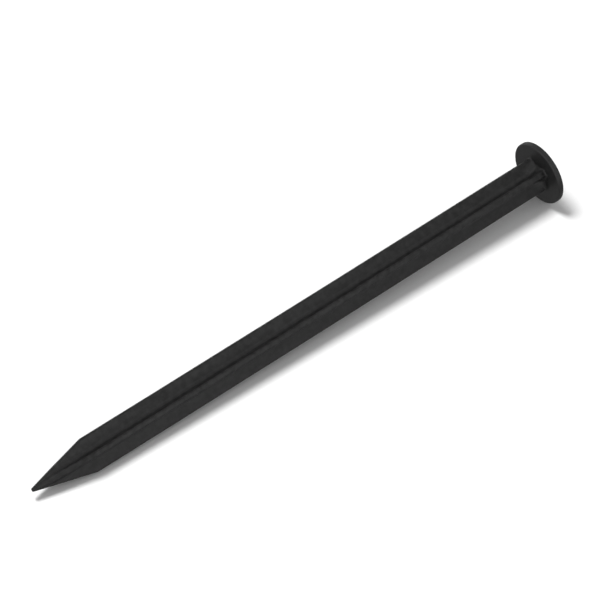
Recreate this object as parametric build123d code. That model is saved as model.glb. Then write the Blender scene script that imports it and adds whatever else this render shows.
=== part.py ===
from build123d import *

import math
import os

# Moulded ground spike, in millimetres. It lies along X with its tip towards -X and its
# round head towards +X. The origin is the centre of the head's flat underside. The four
# fins stand on the diagonals of the YZ plane, so the spike rests on two of them. It is one
# moulding, divided here into regions that meet face to face.

# Driving dimensions
overall_length = 250.0
head_diameter = 26.5
head_thickness = 2.5
fin_span_at_head = 13.9
fin_span_at_point = 14.2
fin_edge_at_head = 2.5
fin_edge_at_point = 2.1
fin_draft = 0.15
root_radius = 1.4
edge_radius = 0.6
rib_root = 1.7

gusset_start_radius = 20.0
gusset_start_slope = 6.0
gusset_radius = 6.0
gusset_end_slope = 72.0
tenon_depth = 1.0

point_length = 26.3
channel_run_out = 9.3
run_out_edge_radius = 0.4
tip_span = 1.3
tip_fin_edge = 0.9
tip_draft = 0.03
tip_root_radius = 0.06
tip_edge_radius = 0.08

head_rim_radius = 0.6
fin_angle = 45.0

# Places along the axis
tip_x = head_thickness - overall_length
run_out_x = tip_x + channel_run_out
shoulder_x = tip_x + point_length


def across(x):
    """The plane across the axis at x, with its normal along +X."""
    return Plane(origin=(x, 0, 0), x_dir=(0, 1, 0), z_dir=(1, 0, 0))


def cross_section(
    x,
    span=fin_span_at_head,
    fin_edge=fin_edge_at_head,
    draft=fin_draft,
    root=root_radius,
    edge=edge_radius,
):
    """The cruciform outline at x.

    fin_edge is a fin's thickness at its outer edge. Each flank leans out by draft between
    that edge and the axis, and root and edge are the radii in the corners and on the arrises.
    """
    reach = span / 2
    half_edge = fin_edge / 2
    corner = (half_edge + draft) / (1 + draft / reach)
    points = []
    radii = []
    for quarter in range(4):
        turn = fin_angle + 90 * quarter
        for place, radius in (
            (Vector(reach, -half_edge), edge),
            (Vector(reach, half_edge), edge),
            (Vector(corner, corner), root),
        ):
            points.append(place.rotate(Axis.Z, turn))
            radii.append(radius)
    outline = FilletPolyline(*points, radius=radii, close=True)
    return across(x) * make_face(outline)


def neck_profile():
    """Places along the neck, with how far the fins' roots have thickened at each.

    The roots swell on a slow curve, then sweep out on a tighter one into the head. The fins'
    outer edges keep their thickness.
    """
    x = 0.0
    swell = 0.0
    slope = 0.0
    profile = [(x, swell)]
    for radius, end_slope, steps in (
        (gusset_start_radius, gusset_start_slope, 1),
        (gusset_radius, gusset_end_slope, 6),
    ):
        step_turn = (math.radians(end_slope) - slope) / steps
        for _ in range(steps):
            x += radius * (math.sin(slope + step_turn) - math.sin(slope))
            swell += radius * (math.cos(slope) - math.cos(slope + step_turn))
            slope += step_turn
            profile.append((x, swell))
    length = x
    return [(place - length, thicker) for place, thicker in profile]


def neck_sections():
    """The neck's outlines, the last of them at the head's underside."""
    return [cross_section(x, draft=fin_draft + swell) for x, swell in neck_profile()]


def make_neck_tenon():
    """The end of the neck that is buried in the head."""
    return extrude(neck_sections()[-1], tenon_depth)


def make_head():
    """The round striking head, with a socket in its underside for the neck."""
    disc = extrude(across(0) * Circle(head_diameter / 2), head_thickness)
    disc = fillet(disc.edges().filter_by(GeomType.CIRCLE), head_rim_radius)
    return disc - make_neck_tenon()


def make_neck():
    """The end of the shank under the head, where the fins' roots thicken into gussets."""
    return loft(neck_sections(), ruled=True) + make_neck_tenon()


def shoulder_section():
    """The outline where the fins' edges begin to run in."""
    return cross_section(shoulder_x, span=fin_span_at_point, fin_edge=fin_edge_at_point)


def run_out_section():
    """The outline where the channels begin to run out.

    The fins are cut down here, but their flanks and roots are still those of the shoulder.
    """
    span = tip_span + (fin_span_at_point - tip_span) * channel_run_out / point_length
    height = span / fin_span_at_point
    return cross_section(
        run_out_x,
        span=span,
        fin_edge=fin_edge_at_point + 2 * fin_draft * (1 - height),
        draft=fin_draft * height,
        edge=run_out_edge_radius,
    )


def make_shank():
    """The straight cruciform length. Towards the point its fins get a little thinner and wider.

    It is given as a web, which is two opposite fins and the core between them, and the two
    ribs that stand on it. The ribs start part-way up their root radii, rib_root from the axis.
    """
    whole = loft([shoulder_section(), cross_section(neck_profile()[0][0])], ruled=True)
    web_middle = Plane.XY.rotated((fin_angle, 0, 0))
    above = web_middle.offset(rib_root)
    below = web_middle.offset(-rib_root)
    upper_rib = split(whole, bisect_by=above, keep=Keep.TOP)
    lower_rib = split(whole, bisect_by=below, keep=Keep.BOTTOM)
    rest = split(whole, bisect_by=above, keep=Keep.BOTTOM)
    web = split(rest, bisect_by=below, keep=Keep.TOP)
    return web, upper_rib, lower_rib


def make_point():
    """The driven end: the fins run in, as thick as before, to a small blunt tip."""
    return loft(
        [
            cross_section(
                tip_x,
                span=tip_span,
                fin_edge=tip_fin_edge,
                draft=tip_draft,
                root=tip_root_radius,
                edge=tip_edge_radius,
            ),
            run_out_section(),
            shoulder_section(),
        ],
        ruled=True,
    )


web, upper_rib, lower_rib = make_shank()

os.makedirs("parts", exist_ok=True)
export_step(make_head(), "parts/head.step")
export_step(make_neck(), "parts/neck.step")
export_step(web, "parts/shank_web.step")
export_step(upper_rib, "parts/shank_rib_upper.step")
export_step(lower_rib, "parts/shank_rib_lower.step")
export_step(make_point(), "parts/point.step")
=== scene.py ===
import math

import bmesh
import bpy
from mathutils import Matrix, Vector, noise


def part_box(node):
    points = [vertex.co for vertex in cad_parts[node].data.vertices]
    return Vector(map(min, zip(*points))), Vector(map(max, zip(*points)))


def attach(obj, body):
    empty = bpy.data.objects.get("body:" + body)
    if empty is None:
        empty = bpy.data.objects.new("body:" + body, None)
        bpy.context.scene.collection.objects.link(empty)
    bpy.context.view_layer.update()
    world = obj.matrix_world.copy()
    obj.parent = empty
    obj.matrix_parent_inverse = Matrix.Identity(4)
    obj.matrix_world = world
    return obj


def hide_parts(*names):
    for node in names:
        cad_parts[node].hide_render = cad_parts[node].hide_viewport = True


# A moulded ground spike, in metres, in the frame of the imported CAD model: X runs along the
# spike from its tip to its head, and the centre of the head's underside is the origin.

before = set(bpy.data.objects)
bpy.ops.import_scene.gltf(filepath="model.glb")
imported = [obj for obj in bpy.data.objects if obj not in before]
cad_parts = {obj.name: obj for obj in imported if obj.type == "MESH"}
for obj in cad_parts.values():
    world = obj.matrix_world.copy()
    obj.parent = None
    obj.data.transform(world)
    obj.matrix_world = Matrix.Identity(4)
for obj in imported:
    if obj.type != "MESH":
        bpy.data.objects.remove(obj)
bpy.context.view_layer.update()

MM = 0.001

# Places along the axis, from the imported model
TIP_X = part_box("point")[0].x
SHOULDER_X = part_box("point")[1].x
NECK_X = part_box("neck")[0].x
TENON_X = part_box("neck")[1].x
SEAT_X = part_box("head")[0].x
TOP_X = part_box("head")[1].x
HEAD_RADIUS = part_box("head")[1].y

# Sizes of the cross-section, the neck, the point and the head
FIN_SPAN_AT_HEAD = 13.9 * MM
FIN_SPAN_AT_POINT = 14.2 * MM
FIN_EDGE_AT_HEAD = 2.5 * MM
FIN_EDGE_AT_POINT = 2.1 * MM
FIN_DRAFT = 0.15 * MM
ROOT_RADIUS = 1.4 * MM
EDGE_RADIUS = 0.6 * MM
FIN_ANGLE = math.radians(45)

GUSSET_START_RADIUS = 20.0 * MM
GUSSET_START_SLOPE = math.radians(6)
GUSSET_RADIUS = 6.0 * MM
GUSSET_END_SLOPE = math.radians(72)
SEAT_FILLET = 0.8 * MM

RUN_OUT_X = TIP_X + 9.3 * MM
RUN_OUT_EDGE_RADIUS = 0.4 * MM
TIP_SPAN = 1.3 * MM
TIP_FIN_EDGE = 0.9 * MM
TIP_DRAFT = 0.03 * MM
TIP_ROOT_RADIUS = 0.06 * MM
TIP_EDGE_RADIUS = 0.08 * MM
TIP_ROUNDING = 0.25 * MM

RIM_RADIUS = 0.6 * MM
GATE_RADIUS = 2.4 * MM
GATE_DEPTH = 0.25 * MM
NUB_RADIUS = 0.75 * MM
NUB_HEIGHT = 0.15 * MM
SINK_DEPTH = 0.06 * MM
FLOOR_CLEARANCE = 0.1 * MM
FLOOR_RADIUS = 5.0

# How the mesh is divided
STATION_STEP = 1.5 * MM
EDGE_STEPS = 4
ROOT_STEPS = 6
FLANK_SPLITS = (0.03, 0.12, 0.28, 0.46, 0.64, 0.82, 0.95)
END_SPLITS = (0.08, 0.36, 0.5, 0.64, 0.92)
PARTING_SPLIT = 0.5
SHARP_ANGLE = math.radians(35)

# Small faults of the moulding
BOW = 0.25 * MM
BOW_ANGLE = math.radians(213)
WAVE_DRAWN_OUT = 0.45
WAVE_LONG = 11.0 * MM
WAVE_LONG_HEIGHT = 0.035 * MM
WAVE_SHORT = 3.5 * MM
WAVE_SHORT_HEIGHT = 0.008 * MM
PARTING_HEIGHT = 0.05 * MM

# Light: a world and three soft lights. toward is the way from the spike to the light.
MIDDLE_X = (TIP_X + TOP_X) / 2
EVEN_LIGHT = 0.225
GLOW_LIGHT = 0.32
GLOW_TOWARD = Vector((-0.50, -0.35, 0.79))
GLOW_STARTS = 0.30
GLOW_FULL = 0.85
HORIZON_LIGHT = 0.46
HORIZON_FULL = 0.12
HORIZON_ENDS = 0.27
KEY = {"toward": (-0.16, 0.26, 0.95), "distance": 2.2, "size": 0.8, "power": 46}
OVERHEAD = {"toward": (0.41, -0.62, 0.67), "distance": 1.0, "size": 0.6, "power": 0.17}
FRONT = {"toward": (0.08, -0.81, 0.58), "distance": 0.75, "size": 0.3, "power": 0.22}


# ---------------------------------------------------------------- outlines


def rounded(before, corner, after, radius, steps):
    """Points of the arc that rounds a corner."""
    back = (before - corner).normalized()
    on = (after - corner).normalized()
    half = back.angle(on) / 2
    centre = corner + (back + on).normalized() * radius / math.sin(half)
    start = corner + back * radius / math.tan(half) - centre
    end = corner + on * radius / math.tan(half) - centre
    sweep = start.angle(end)
    arc = []
    for step in range(steps + 1):
        share = step / steps
        arc.append(
            centre
            + (start * math.sin(sweep * (1 - share)) + end * math.sin(sweep * share))
            / math.sin(sweep)
        )
    return arc


def cross_outline(span, fin_edge, draft, root, edge):
    """The cruciform outline, as points (y, z) in order round the axis.

    The points of every outline come in the same order and number, so outlines can be
    joined or blended point by point. ring_marks() says which point is which.
    """
    reach = span / 2
    half_edge = fin_edge / 2
    inner = (half_edge + draft) / (1 + draft / reach)
    corners = []
    for quarter in range(4):
        turn = Matrix.Rotation(FIN_ANGLE + math.pi / 2 * quarter, 2)
        corners.append((turn @ Vector((reach, -half_edge)), edge, EDGE_STEPS, END_SPLITS))
        corners.append((turn @ Vector((reach, half_edge)), edge, EDGE_STEPS, FLANK_SPLITS))
        flank_back = tuple(1 - split for split in reversed(FLANK_SPLITS))
        corners.append((turn @ Vector((inner, inner)), root, ROOT_STEPS, flank_back))
    arcs = []
    for index, (corner, radius, steps, splits) in enumerate(corners):
        before = corners[index - 1][0]
        after = corners[(index + 1) % len(corners)][0]
        arcs.append(rounded(before, corner, after, radius, steps))
    points = []
    for index, arc in enumerate(arcs):
        following = arcs[(index + 1) % len(arcs)][0]
        points += arc
        points += [arc[-1].lerp(following, split) for split in corners[index][3]]
    return points


def ring_marks():
    """For each point of an outline: (is it on an arris, is it in a root, fin end it crosses)."""
    marks = []
    for quarter in range(4):
        marks += [(1.0, 0.0, None)] * (EDGE_STEPS + 1)
        for split in END_SPLITS:
            marks.append((0.0, 0.0, quarter if split == PARTING_SPLIT else None))
        marks += [(1.0, 0.0, None)] * (EDGE_STEPS + 1)
        marks += [(0.0, 0.0, None)] * len(FLANK_SPLITS)
        marks += [(0.0, 1.0, None)] * (ROOT_STEPS + 1)
        marks += [(0.0, 0.0, None)] * len(FLANK_SPLITS)
    return marks


def shank_outline(x):
    """The outline between the point and the neck, where the fins thin out slowly."""
    share = (x - SHOULDER_X) / (NECK_X - SHOULDER_X)
    fin_edge = FIN_EDGE_AT_POINT + (FIN_EDGE_AT_HEAD - FIN_EDGE_AT_POINT) * share
    span = FIN_SPAN_AT_POINT + (FIN_SPAN_AT_HEAD - FIN_SPAN_AT_POINT) * share
    return cross_outline(span, fin_edge, FIN_DRAFT, ROOT_RADIUS, EDGE_RADIUS)


def run_out_outline():
    """The outline where the channels begin to run out.

    The fins are cut down here, but their flanks and roots are still those of the shoulder.
    """
    share = (RUN_OUT_X - TIP_X) / (SHOULDER_X - TIP_X)
    span = TIP_SPAN + (FIN_SPAN_AT_POINT - TIP_SPAN) * share
    height = span / FIN_SPAN_AT_POINT
    fin_edge = FIN_EDGE_AT_POINT + 2 * FIN_DRAFT * (1 - height)
    return cross_outline(span, fin_edge, FIN_DRAFT * height, ROOT_RADIUS, RUN_OUT_EDGE_RADIUS)


def neck_profile():
    """(x, swell) along the neck: how far the fins' roots have thickened at each place.

    The roots swell on a slow curve, then sweep out on a tighter one into the head. The fins'
    outer edges keep their thickness.
    """
    x = 0.0
    swell = 0.0
    slope = 0.0
    profile = [(x, swell)]
    for radius, end_slope, steps in (
        (GUSSET_START_RADIUS, GUSSET_START_SLOPE, 3),
        (GUSSET_RADIUS, GUSSET_END_SLOPE, 14),
    ):
        step_turn = (end_slope - slope) / steps
        for _ in range(steps):
            x += radius * (math.sin(slope + step_turn) - math.sin(slope))
            swell += radius * (math.cos(slope) - math.cos(slope + step_turn))
            slope += step_turn
            profile.append((x, swell))
    length = x
    return [(place - length, thicker) for place, thicker in profile]


def neck_outline(swell):
    return cross_outline(
        FIN_SPAN_AT_HEAD, FIN_EDGE_AT_HEAD, FIN_DRAFT + swell, ROOT_RADIUS, EDGE_RADIUS
    )


def spread(outline, distance):
    """The outline moved outwards by distance."""
    count = len(outline)
    moved = []
    for index, point in enumerate(outline):
        tangent = outline[(index + 1) % count] - outline[index - 1]
        moved.append(point + Vector((tangent.y, -tangent.x)).normalized() * distance)
    return moved


def neck_rows():
    """(x, outline) along the neck, with the small fillet where it meets the head."""
    profile = neck_profile()
    rows = [(x, neck_outline(swell)) for x, swell in profile if x < -SEAT_FILLET - 0.05 * MM]
    for degrees in (0, 18, 36, 54, 70, 84):
        turn = math.radians(degrees)
        x = -SEAT_FILLET * (1 - math.sin(turn))
        after = next(index for index, row in enumerate(profile) if row[0] >= x)
        before = profile[after - 1]
        share = (x - before[0]) / (profile[after][0] - before[0])
        swell = before[1] + (profile[after][1] - before[1]) * share
        rows.append((x, spread(neck_outline(swell), SEAT_FILLET * (1 - math.cos(turn)))))
    return rows


def blended(first, second, share):
    return [a.lerp(b, share) for a, b in zip(first, second)]


# ---------------------------------------------------------------- small faults


def smooth_step(low, high, value):
    share = min(1.0, max(0.0, (value - low) / (high - low)))
    return share * share * (3 - 2 * share)


def wave(place):
    """How far the moulded surface stands off its ideal place. It dies away at the head."""
    along = Vector((place.x * WAVE_DRAWN_OUT, place.y, place.z))
    long_wave = noise.noise(along / WAVE_LONG) * WAVE_LONG_HEIGHT
    short_wave = noise.noise(along / WAVE_SHORT + Vector((7.3, 1.9, 4.1))) * WAVE_SHORT_HEIGHT
    return (long_wave + short_wave) * (1 - smooth_step(-4 * MM, -1 * MM, place.x))


def bow(x):
    """Sideways offset of the axis at x: the cooled moulding is very slightly bent."""
    share = (x - MIDDLE_X) / (TOP_X - MIDDLE_X)
    size = BOW * (1 - share * share)
    return Vector((0, math.cos(BOW_ANGLE), math.sin(BOW_ANGLE))) * size


def cast_ring(x, outline, fade=1.0):
    """The outline at x as points in space, with the moulding's small faults."""
    marks = ring_marks()
    count = len(outline)
    ring = []
    for index, point in enumerate(outline):
        tangent = outline[(index + 1) % count] - outline[index - 1]
        outward = Vector((0, tangent.y, -tangent.x)).normalized()
        place = Vector((x, point.x, point.y))
        offset = wave(place) * fade
        if marks[index][2] in (0, 2):
            offset += PARTING_HEIGHT * fade
        ring.append(place + outward * offset + bow(x))
    return ring


# ---------------------------------------------------------------- meshes


def stations(start, end, step=STATION_STEP):
    count = max(1, round(abs(end - start) / step))
    return [start + (end - start) * index / count for index in range(count + 1)]


def finish_mesh(mesh_edit, name, material):
    """Turns a bmesh into a smooth-shaded object with sharp edges where it turns hard."""
    mesh_edit.normal_update()
    for face in mesh_edit.faces:
        face.smooth = True
    for edge in mesh_edit.edges:
        if len(edge.link_faces) == 2 and edge.calc_face_angle(0) > SHARP_ANGLE:
            edge.smooth = False
    mesh = bpy.data.meshes.new(name)
    mesh_edit.to_mesh(mesh)
    mesh_edit.free()
    mesh.materials.append(material)
    piece = bpy.data.objects.new(name, mesh)
    bpy.context.scene.collection.objects.link(piece)
    weighted = piece.modifiers.new("weighted_normals", "WEIGHTED_NORMAL")
    weighted.keep_sharp = True
    weighted.mode = "FACE_AREA"
    return piece


def join_rings(mesh_edit, rings, marks):
    """Quads between rings. Returns the bmesh vertices of each ring."""
    arris = mesh_edit.verts.layers.float.new("arris")
    root = mesh_edit.verts.layers.float.new("root")
    made = []
    for ring in rings:
        made.append([mesh_edit.verts.new(place) for place in ring])
    for ring in made:
        for vertex, mark in zip(ring, marks):
            vertex[arris] = mark[0]
            vertex[root] = mark[1]
    for first, second in zip(made, made[1:]):
        join_pair(mesh_edit, first, second)
    return made


def join_pair(mesh_edit, first, second):
    count = len(first)
    for index in range(count):
        following = (index + 1) % count
        mesh_edit.faces.new((first[index], first[following], second[following], second[index]))


def close_ring(mesh_edit, ring, reverse):
    """A fan from the ring's middle. The outline can be seen whole from its axis."""
    middle = sum((vertex.co for vertex in ring), Vector()) / len(ring)
    centre = mesh_edit.verts.new(middle)
    count = len(ring)
    for index in range(count):
        pair = (ring[index], ring[(index + 1) % count])
        if reverse:
            pair = (pair[1], pair[0])
        mesh_edit.faces.new((pair[0], pair[1], centre))


def cast_piece(name, rings, material):
    """A closed piece of the cruciform length, from rings that run towards +X."""
    mesh_edit = bmesh.new()
    made = join_rings(mesh_edit, rings, ring_marks())
    close_ring(mesh_edit, made[0], reverse=True)
    close_ring(mesh_edit, made[-1], reverse=False)
    bmesh.ops.recalc_face_normals(mesh_edit, faces=mesh_edit.faces)
    return finish_mesh(mesh_edit, name, material)


def make_shank(material):
    rings = [cast_ring(x, shank_outline(x)) for x in stations(SHOULDER_X, NECK_X)]
    return cast_piece("shank", rings, material)


def make_neck(material):
    rows = neck_rows()
    rings = [cast_ring(x, outline) for x, outline in rows]
    rings.append(cast_ring(SEAT_X, rows[-1][1]))
    rings.append(cast_ring(TENON_X, rows[-1][1]))
    return cast_piece("neck", rings, material)


def make_point(material):
    """The tip, where the channels run out, and the taper. The very end is rounded over."""
    tip = cross_outline(TIP_SPAN, TIP_FIN_EDGE, TIP_DRAFT, TIP_ROOT_RADIUS, TIP_EDGE_RADIUS)
    run_out = run_out_outline()
    shoulder = shank_outline(SHOULDER_X)
    rings = []
    for degrees in (8, 25, 45, 65):
        turn = math.radians(degrees)
        x = TIP_X + TIP_ROUNDING * (1 - math.cos(turn))
        shrink = 1 - TIP_ROUNDING / (TIP_SPAN / 2) * (1 - math.sin(turn))
        outline = blended(tip, run_out, (x - TIP_X) / (RUN_OUT_X - TIP_X))
        rings.append(cast_ring(x, [point * shrink for point in outline], fade=0))
    for x in stations(TIP_X + TIP_ROUNDING, RUN_OUT_X, 1 * MM):
        share = (x - TIP_X) / (RUN_OUT_X - TIP_X)
        rings.append(cast_ring(x, blended(tip, run_out, share), smooth_step(0, 0.8, share)))
    for x in stations(RUN_OUT_X, SHOULDER_X, 1 * MM)[1:]:
        share = (x - RUN_OUT_X) / (SHOULDER_X - RUN_OUT_X)
        rings.append(cast_ring(x, blended(run_out, shoulder, share)))
    return cast_piece("point", rings, material)


def even_circle(radius, like):
    """A circle whose points are evenly spread, starting in line with the outline's first."""
    count = len(like)
    first = math.atan2(like[0].y, like[0].x)
    points = []
    for index in range(count):
        turn = first + 2 * math.pi * index / count
        points.append(Vector((math.cos(turn), math.sin(turn))) * radius)
    return points


def sink(point):
    """How far the top has sunk where the fins join below it."""
    along = abs(point.x * math.cos(FIN_ANGLE) + point.y * math.sin(FIN_ANGLE))
    across = abs(point.y * math.cos(FIN_ANGLE) - point.x * math.sin(FIN_ANGLE))
    fin = 1 - smooth_step(0.8 * MM, 2.6 * MM, min(along, across))
    reach = 1 - smooth_step(4 * MM, 8 * MM, max(along, across))
    return SINK_DEPTH * fin * reach


def make_head(material):
    """The disc: seat with a socket for the neck, rounded rim, flat top with the gate's mark."""
    socket = neck_rows()[-1][1]
    rows = [(TENON_X, socket), (SEAT_X, socket)]
    seat_radius = HEAD_RADIUS - RIM_RADIUS
    seat_edge = even_circle(seat_radius, socket)
    for share in (0.04, 0.2, 0.4, 0.6, 0.8, 0.96, 1.0):
        rows.append((SEAT_X, blended(socket, seat_edge, share)))
    for degrees in (15, 30, 45, 60, 75, 90):
        turn = math.radians(degrees)
        radius = seat_radius + RIM_RADIUS * math.sin(turn)
        rows.append((SEAT_X + RIM_RADIUS * (1 - math.cos(turn)), even_circle(radius, socket)))
    for degrees in (90, 75, 60, 45, 30, 15, 0):
        turn = math.radians(degrees)
        radius = seat_radius + RIM_RADIUS * math.sin(turn)
        rows.append((TOP_X - RIM_RADIUS * (1 - math.cos(turn)), even_circle(radius, socket)))
    for radius in stations(seat_radius - 0.5 * MM, GATE_RADIUS + 0.6 * MM, 0.9 * MM):
        rows.append((TOP_X, even_circle(radius, socket)))
    for degrees in (0, 30, 60, 90):
        turn = math.radians(degrees)
        radius = GATE_RADIUS - GATE_DEPTH * math.sin(turn)
        rows.append((TOP_X - GATE_DEPTH * (1 - math.cos(turn)), even_circle(radius, socket)))
    for radius in (1.6 * MM, 1.1 * MM, NUB_RADIUS):
        rows.append((TOP_X - GATE_DEPTH, even_circle(radius, socket)))
    rows.append((TOP_X - GATE_DEPTH + NUB_HEIGHT, even_circle(NUB_RADIUS * 0.8, socket)))
    rows.append((TOP_X - GATE_DEPTH + NUB_HEIGHT, even_circle(NUB_RADIUS * 0.4, socket)))
    rings = []
    for x, outline in rows:
        on_top = x > TOP_X - GATE_DEPTH - 0.01 * MM
        ring = []
        for point in outline:
            drop = sink(point) if on_top else 0
            ring.append(Vector((x - drop, point.x, point.y)) + bow(x))
        rings.append(ring)
    mesh_edit = bmesh.new()
    # A mark for painted light: the material lightens the head's colour wherever it is set.
    mesh_edit.verts.layers.float.new("head_painted_light")
    blank = [(0.0, 0.0, None)] * len(socket)
    made = join_rings(mesh_edit, rings, blank)
    arris = mesh_edit.verts.layers.float["arris"]
    head_painted_light = mesh_edit.verts.layers.float["head_painted_light"]
    for ring, (x, outline) in zip(made, rows):
        radius = max(point.length for point in outline)
        worn = smooth_step(seat_radius, HEAD_RADIUS, radius)
        for vertex in ring:
            vertex[arris] = worn
            # Every vertex of the head carries the painted-light mark.
            vertex[head_painted_light] = 1.0
    close_ring(mesh_edit, made[0], reverse=True)
    close_ring(mesh_edit, made[-1], reverse=False)
    bmesh.ops.recalc_face_normals(mesh_edit, faces=mesh_edit.faces)
    return finish_mesh(mesh_edit, "head", material)


# ---------------------------------------------------------------- material


class Graph:
    """A material's nodes, with short calls to add and join them."""

    def __init__(self, name):
        self.material = bpy.data.materials.new(name)
        self.material.use_nodes = True
        self.nodes = self.material.node_tree.nodes
        self.links = self.material.node_tree.links
        self.shader = next(n for n in self.nodes if n.type == "BSDF_PRINCIPLED")

    def add(self, kind, inputs=None, **settings):
        node = self.nodes.new(kind)
        for key, value in settings.items():
            setattr(node, key, value)
        for key, value in (inputs or {}).items():
            if isinstance(value, bpy.types.NodeSocket):
                self.links.new(value, node.inputs[key])
            else:
                node.inputs[key].default_value = value
        return node

    def noise(self, place, scale, detail=2.0, roughness=0.5):
        node = self.add(
            "ShaderNodeTexNoise",
            {"Vector": place, "Scale": scale, "Detail": detail, "Roughness": roughness},
        )
        return node.outputs["Fac"]

    def remap(self, value, low, high, new_low, new_high):
        node = self.add(
            "ShaderNodeMapRange",
            {
                "Value": value,
                "From Min": low,
                "From Max": high,
                "To Min": new_low,
                "To Max": new_high,
            },
        )
        return node.outputs["Result"]

    def math(self, operation, first, second):
        node = self.add("ShaderNodeMath", {0: first, 1: second}, operation=operation)
        return node.outputs["Value"]

    def mix_colour(self, factor, first, second):
        node = self.add("ShaderNodeMix", {"Factor": factor}, data_type="RGBA")
        for key, value in ((6, first), (7, second)):
            if isinstance(value, bpy.types.NodeSocket):
                self.links.new(value, node.inputs[key])
            else:
                node.inputs[key].default_value = value
        return node.outputs[2]

    def mark(self, name):
        return self.add("ShaderNodeAttribute", attribute_name=name).outputs["Fac"]


def grey(value):
    return (value, value, value, 1)


def make_black_plastic():
    """Black polyolefin as it left the mould: satin and faintly mottled.

    It is scuffed on the arrises; its colour is lightened in the roots and over the whole head as
    painted light.
    """
    graph = Graph("black_plastic")
    place = graph.add("ShaderNodeTexCoord").outputs["Object"]
    drawn = graph.add(
        "ShaderNodeMapping", {"Vector": place, "Scale": (0.12, 1, 1)}
    ).outputs["Vector"]

    mottle = graph.noise(place, 170, 4, 0.6)
    blotch = graph.noise(drawn, 420, 3, 0.55)
    speck = graph.noise(place, 2600, 2, 0.5)
    scratch = graph.noise(drawn, 3200, 3, 0.65)

    arris = graph.mark("arris")
    root = graph.mark("root")
    worn = graph.math("MULTIPLY", arris, graph.remap(mottle, 0.42, 0.62, 0.15, 1.0))
    scuff = graph.remap(scratch, 0.62, 0.74, 0.0, 1.0)
    scuff = graph.math("MULTIPLY", scuff, graph.remap(blotch, 0.45, 0.6, 0.0, 1.0))

    patch = graph.noise(place, 430, 3, 0.6)
    colour = graph.mix_colour(graph.remap(patch, 0.36, 0.64, 0, 1), grey(0.002), grey(0.013))
    colour = graph.mix_colour(graph.math("MULTIPLY", scuff, 0.5), colour, grey(0.022))
    colour = graph.mix_colour(graph.math("MULTIPLY", worn, 0.3), colour, grey(0.022))
    # Painted light: the colour in the roots is lightened towards grey 0.018, standing in for
    # light falling into the channels' roots.
    colour = graph.mix_colour(graph.math("MULTIPLY", root, 0.4), colour, grey(0.018))
    # Painted light: the whole head's colour is lightened towards grey 0.018, standing in for
    # light on the head.
    head_painted_light_mix = graph.math("MULTIPLY", graph.mark("head_painted_light"), 0.6)
    colour = graph.mix_colour(head_painted_light_mix, colour, grey(0.018))

    rough = graph.remap(blotch, 0.3, 0.7, 0.36, 0.48)
    rough = graph.math("ADD", rough, graph.remap(speck, 0.3, 0.7, -0.03, 0.03))
    rough = graph.math("ADD", rough, graph.math("MULTIPLY", scuff, 0.10))
    rough = graph.math("ADD", rough, graph.math("MULTIPLY", worn, 0.06))

    coarse = graph.add(
        "ShaderNodeBump", {"Height": blotch, "Strength": 0.25, "Distance": 0.00012}
    )
    fine = graph.add(
        "ShaderNodeBump",
        {
            "Height": speck,
            "Strength": 0.30,
            "Distance": 0.00003,
            "Normal": coarse.outputs["Normal"],
        },
    )
    graph.links.new(colour, graph.shader.inputs["Base Color"])
    graph.links.new(rough, graph.shader.inputs["Roughness"])
    graph.links.new(fine.outputs["Normal"], graph.shader.inputs["Normal"])
    graph.shader.inputs["IOR"].default_value = 1.5
    graph.shader.inputs["Specular IOR Level"].default_value = 0.58
    return graph.material


def make_floor_paper():
    """Pale seamless paper."""
    graph = Graph("floor_paper")
    place = graph.add("ShaderNodeTexCoord").outputs["Object"]
    grain = graph.noise(place, 900, 3, 0.6)
    colour = graph.mix_colour(grain, grey(0.86), grey(0.90))
    graph.links.new(colour, graph.shader.inputs["Base Color"])
    graph.shader.inputs["Roughness"].default_value = 0.9
    graph.shader.inputs["Specular IOR Level"].default_value = 0.1
    return graph.material


# ---------------------------------------------------------------- setting


def make_camera():
    """The photograph's viewing angle: a long lens, from the tip's side and well above."""
    target = Vector((-112.4 * MM, 8.85 * MM, 0))
    distance = 1.790
    azimuth = math.radians(-38.49)
    elevation = math.radians(48.63)
    roll = math.radians(-1.14)
    view_angle = math.radians(7.323)
    back = Vector(
        (
            math.sin(azimuth) * math.cos(elevation),
            -math.cos(azimuth) * math.cos(elevation),
            math.sin(elevation),
        )
    )
    camera = bpy.data.objects.new("camera", bpy.data.cameras.new("camera"))
    bpy.context.scene.collection.objects.link(camera)
    camera.data.sensor_width = 36
    camera.data.lens = camera.data.sensor_width / 2 / math.tan(view_angle / 2)
    camera.data.clip_start = 0.05
    camera.data.clip_end = 30
    camera.location = target + back * distance
    turn = (-back).to_track_quat("-Z", "Y").to_matrix() @ Matrix.Rotation(roll, 3, "Z")
    camera.rotation_mode = "QUATERNION"
    camera.rotation_quaternion = turn.to_quaternion()
    bpy.context.scene.camera = camera


def make_floor():
    """The spike lies on its head's rim and on two fin edges at the shoulder."""
    rim_low = -HEAD_RADIUS
    shoulder_low = -(FIN_SPAN_AT_POINT / 2 + FIN_EDGE_AT_POINT / 2) * math.sin(FIN_ANGLE)
    rise = math.atan2(shoulder_low - rim_low, SEAT_X - SHOULDER_X)
    mesh_edit = bmesh.new()
    bmesh.ops.create_circle(mesh_edit, cap_ends=True, segments=96, radius=FLOOR_RADIUS)
    mesh = bpy.data.meshes.new("floor")
    mesh_edit.to_mesh(mesh)
    mesh_edit.free()
    mesh.materials.append(make_floor_paper())
    floor = bpy.data.objects.new("floor", mesh)
    bpy.context.scene.collection.objects.link(floor)
    floor.rotation_euler = (0, rise, 0)
    floor.location = (SEAT_X, 0, rim_low - FLOOR_CLEARANCE)
    floor.visible_glossy = False


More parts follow.
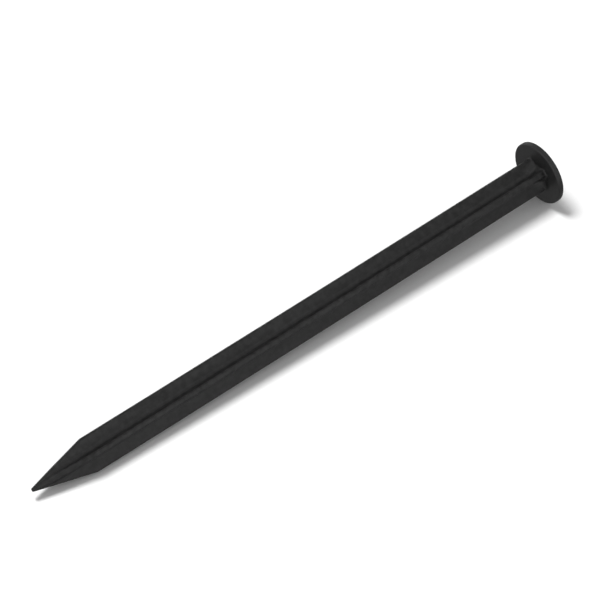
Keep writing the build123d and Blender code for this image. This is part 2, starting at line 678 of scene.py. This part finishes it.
def make_world():
    """An even studio with a broad soft glow above the tip's side and a pale horizon."""
    world = bpy.data.worlds.new("studio")
    bpy.context.scene.world = world
    world.use_nodes = True
    nodes = world.node_tree.nodes
    links = world.node_tree.links
    place = nodes.new("ShaderNodeTexCoord")
    nearness = nodes.new("ShaderNodeVectorMath")
    nearness.operation = "DOT_PRODUCT"
    nearness.inputs[1].default_value = GLOW_TOWARD.normalized()
    links.new(place.outputs["Generated"], nearness.inputs[0])
    ramp = nodes.new("ShaderNodeMapRange")
    ramp.interpolation_type = "SMOOTHSTEP"
    ramp.inputs["From Min"].default_value = GLOW_STARTS
    ramp.inputs["From Max"].default_value = GLOW_FULL
    ramp.inputs["To Min"].default_value = EVEN_LIGHT
    ramp.inputs["To Max"].default_value = EVEN_LIGHT + GLOW_LIGHT
    links.new(nearness.outputs["Value"], ramp.inputs["Value"])
    split = nodes.new("ShaderNodeSeparateXYZ")
    links.new(place.outputs["Generated"], split.inputs[0])
    height = nodes.new("ShaderNodeMath")
    height.operation = "ABSOLUTE"
    links.new(split.outputs["Z"], height.inputs[0])
    horizon = nodes.new("ShaderNodeMapRange")
    horizon.interpolation_type = "SMOOTHSTEP"
    horizon.inputs["From Min"].default_value = HORIZON_FULL
    horizon.inputs["From Max"].default_value = HORIZON_ENDS
    horizon.inputs["To Min"].default_value = HORIZON_LIGHT
    horizon.inputs["To Max"].default_value = 0.0
    links.new(height.outputs["Value"], horizon.inputs["Value"])
    total = nodes.new("ShaderNodeMath")
    total.operation = "ADD"
    links.new(ramp.outputs["Result"], total.inputs[0])
    links.new(horizon.outputs["Result"], total.inputs[1])
    links.new(total.outputs["Value"], nodes["Background"].inputs["Strength"])
    nodes["Background"].inputs["Color"].default_value = grey(1.0)


def make_softbox(name, aim_x, toward, distance, size, power, reflected=True):
    """A round soft light that faces the place aim_x on the spike's axis."""
    aim = Vector((aim_x, 0, 0))
    direction = Vector(toward).normalized()
    light = bpy.data.lights.new(name, "AREA")
    light.shape = "DISK"
    light.size = size
    light.energy = power
    lamp = bpy.data.objects.new(name, light)
    bpy.context.scene.collection.objects.link(lamp)
    lamp.location = aim + direction * distance
    lamp.rotation_mode = "QUATERNION"
    lamp.rotation_quaternion = (-direction).to_track_quat("-Z", "Y")
    lamp.visible_glossy = reflected


# ---------------------------------------------------------------- scene

make_camera()

black_plastic = make_black_plastic()
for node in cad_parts.values():
    node.data.materials.clear()
    node.data.materials.append(black_plastic)

for piece, stands_for in (
    (make_head(black_plastic), ("head",)),
    (make_neck(black_plastic), ("neck",)),
    (make_shank(black_plastic), ("shank_web", "shank_rib_upper", "shank_rib_lower")),
    (make_point(black_plastic), ("point",)),
):
    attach(piece, "root")
    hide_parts(*stands_for)

make_floor()
make_world()
make_softbox("key", MIDDLE_X, reflected=False, **KEY)
make_softbox("overhead", SEAT_X, **OVERHEAD)
make_softbox("front", SEAT_X, **FRONT)

bpy.context.scene.view_settings.view_transform = "Standard"
